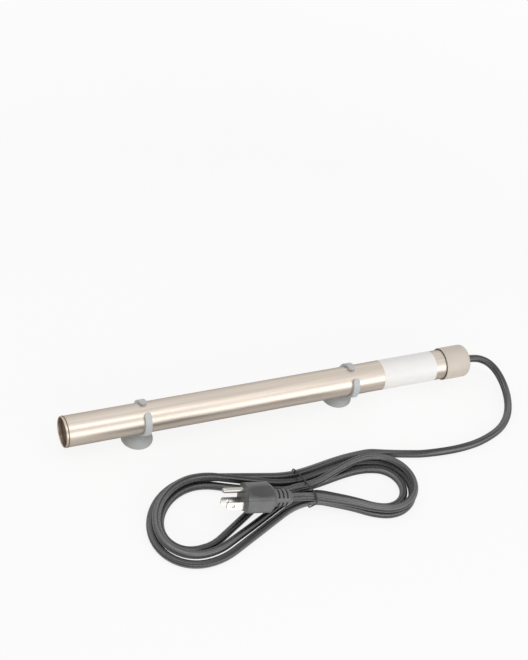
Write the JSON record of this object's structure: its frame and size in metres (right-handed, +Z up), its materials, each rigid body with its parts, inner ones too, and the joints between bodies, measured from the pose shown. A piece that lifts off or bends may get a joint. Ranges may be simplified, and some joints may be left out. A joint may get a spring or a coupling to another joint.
{
  "type": "submersible aquarium heater",
  "caption": "Slim titanium tube heater with a moulded end cap, suction-cup holders that slide along the tube, and a mains cord tied in a hank with a moulded plug.",
  "frame": {"origin": "on the surface that the suction cups stand on, under the middle of the heater's length", "axes": "+X along the tube from the sealed end to the cap, +Z up from the cups to the tube, the cord's hank on the -Y side"},
  "size_m": [0.4424, 0.1726, 0.041],
  "materials": {
    "titanium": "brushed titanium tube",
    "weld": "welded titanium disc",
    "cap_plastic": "fine matt moulding",
    "seal_rubber": "matt",
    "label_film": "plain white film",
    "holder_rubber": "satin grey rubber",
    "cord_jacket": "satin dark grey",
    "plug_moulding": "fine matt moulding",
    "nickel": "nickel plate",
    "tie_wire": "thin plastic coat",
    "ceramic": "bare ceramic",
    "quartz": "clear",
    "resistance_wire": "oxidised wire",
    "silicone": "matt silicone",
    "potting_resin": "cast resin",
    "crimp_metal": "tinned",
    "tag_metal": "bare",
    "insulation_black": "smooth",
    "insulation_white": "smooth",
    "insulation_green": "smooth",
    "fuse_metal": "coated can",
    "glass_braid": "woven sleeve"
  },
  "bodies": {
    "heater": {"titanium_tube": "titanium", "end_disc": "weld", "end_cap": "cap_plastic", "cap_seal": "seal_rubber", "blank_label": "label_film", "cord_grommet": "seal_rubber", "cord_entry": "cord_jacket", "potting": "potting_resin", "bung": "silicone", "live_lead": "insulation_black", "neutral_lead": "insulation_white", "earth_lead": "insulation_green", "earth_tag": "tag_metal", "crimp_connectors": "crimp_metal", "thermal_fuse": "fuse_metal", "fuse_sleeve": "glass_braid", "ceramic_core": "ceramic", "heating_coil": "resistance_wire", "return_rod": "resistance_wire", "lower_spacer": "ceramic", "upper_spacer": "ceramic", "quartz_sleeve": "quartz", "cord_lead": "cord_jacket", "cord_hank": "cord_jacket", "cord_tie": "tie_wire", "plug_body": "plug_moulding", "plug_relief": "plug_moulding", "live_blade": "nickel", "neutral_blade": "nickel", "earth_pin": "nickel"},
    "left_clip": {"left_holder": "holder_rubber"},
    "right_clip": {"right_holder": "holder_rubber"}
  },
  "joints": [
    {"name": "left_slide", "type": "slide", "parent": "heater", "child": "left_clip", "axis": [1, 0, 0], "range_m": [-0.055, 0.08]},
    {"name": "right_slide", "type": "slide", "parent": "heater", "child": "right_clip", "axis": [1, 0, 0], "range_m": [-0.06, 0.025]}
  ]
}
